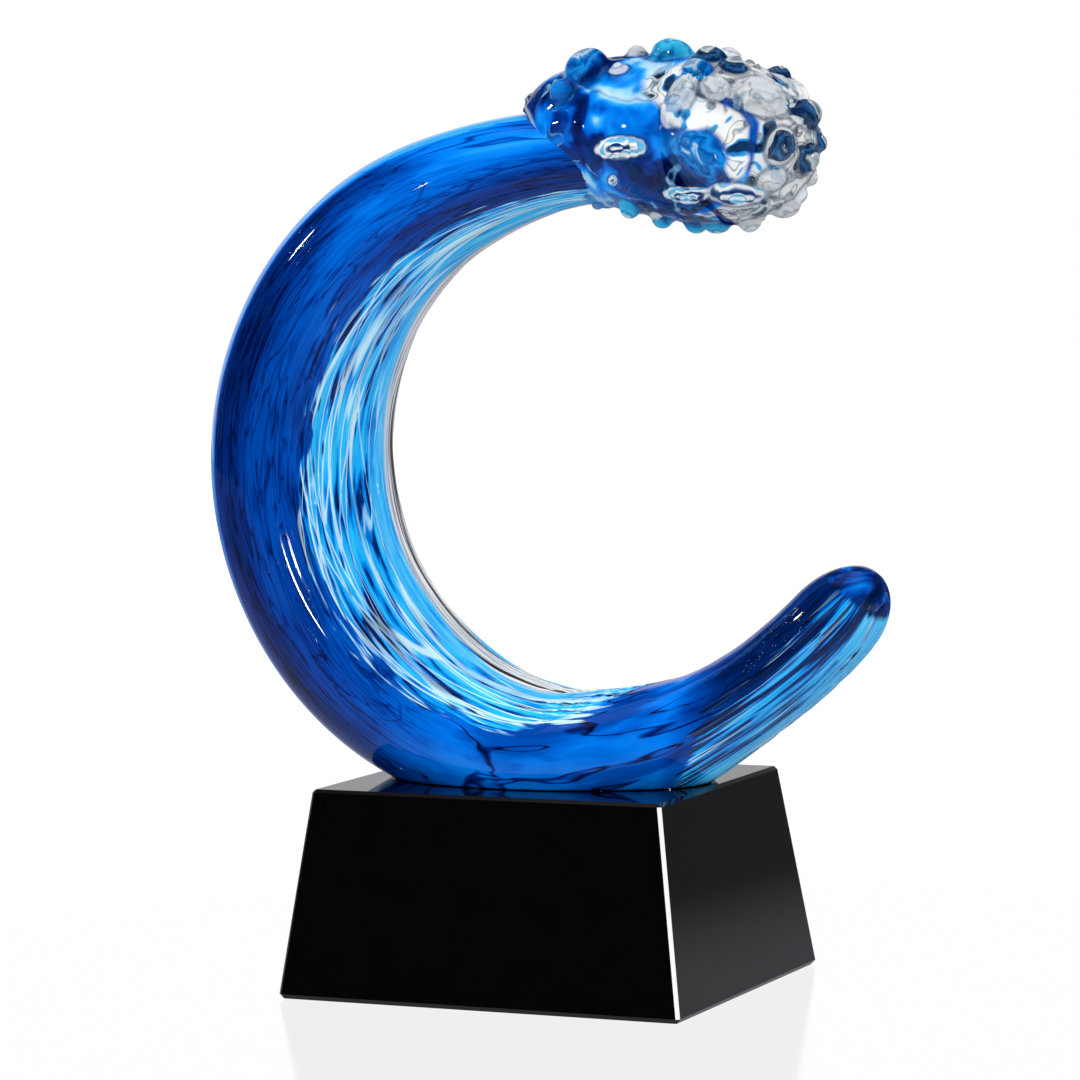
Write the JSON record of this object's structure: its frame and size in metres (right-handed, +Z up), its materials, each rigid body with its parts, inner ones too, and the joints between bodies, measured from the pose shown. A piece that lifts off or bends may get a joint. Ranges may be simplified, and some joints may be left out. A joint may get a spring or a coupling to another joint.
{
  "type": "glass wave sculpture",
  "caption": "Desk sculpture: a curling wave of blue and clear glass with a frothy crest, bonded by its ground foot to a black glass plinth.",
  "frame": {"origin": "centre of the plinth's flat underside", "axes": "+Z up; +X to the side that the crest and the tail point to; the front looks along -Y"},
  "size_m": [0.2231, 0.1106, 0.2892],
  "materials": {
    "black_glass": "polished black glass, ground and polished flats and bevels",
    "clear_adhesive": "clear cured adhesive film",
    "blue_glass": "fire-polished transparent cobalt blue",
    "dark_blue_glass": "fire-polished deep blue, near black where thick",
    "aqua_glass": "fire-polished aqua",
    "clear_glass": "fire-polished clear lead crystal"
  },
  "bodies": {
    "root": {"back_blue": "dark_blue_glass", "back_crown": "clear_glass", "back_finger": "clear_glass", "back_large": "blue_glass", "back_low_first": "clear_glass", "back_low_fourth": "clear_glass", "back_low_second": "aqua_glass", "back_low_third": "aqua_glass", "back_nose": "dark_blue_glass", "back_ridge": "clear_glass", "back_shell": "clear_glass", "back_shoulder": "blue_glass", "back_side": "clear_glass", "base_block": "black_glass", "bond_layer": "clear_adhesive", "crest_cap": "blue_glass", "crest_nose": "clear_glass", "crest_trail": "blue_glass", "drop_chain_aqua": "aqua_glass", "drop_chain_bright": "aqua_glass", "drop_chain_clear": "clear_glass", "drop_chain_finger": "clear_glass", "drop_chain_first": "aqua_glass", "drop_chain_last": "clear_glass", "drop_chain_ring": "aqua_glass", "drop_chain_wide": "clear_glass", "drop_curl": "clear_glass", "drop_nose_dark": "dark_blue_glass", "drop_nose_eye": "dark_blue_glass", "drop_nose_low": "clear_glass", "drop_nose_mid": "dark_blue_glass", "drop_nose_small": "dark_blue_glass", "drop_nose_top": "dark_blue_glass", "drop_ridge_blue": "dark_blue_glass", "drop_shell": "clear_glass", "drop_shoulder_large": "blue_glass", "drop_shoulder_small": "blue_glass", "drop_side_clear": "clear_glass", "drop_striated": "clear_glass", "drop_tall_finger": "clear_glass", "drop_tear": "clear_glass", "drop_top_blue": "dark_blue_glass", "drop_top_bud": "clear_glass", "drop_top_clear": "clear_glass", "drop_top_teal": "aqua_glass", "inlay_back_eye": "clear_glass", "inlay_back_lobe": "dark_blue_glass", "inlay_back_swirl": "clear_glass", "inlay_eye_lower": "aqua_glass", "inlay_eye_upper": "clear_glass", "inlay_lobe": "dark_blue_glass", "inlay_swirl": "clear_glass", "wave_casing": "clear_glass", "wave_core": "blue_glass"}
  },
  "joints": []
}
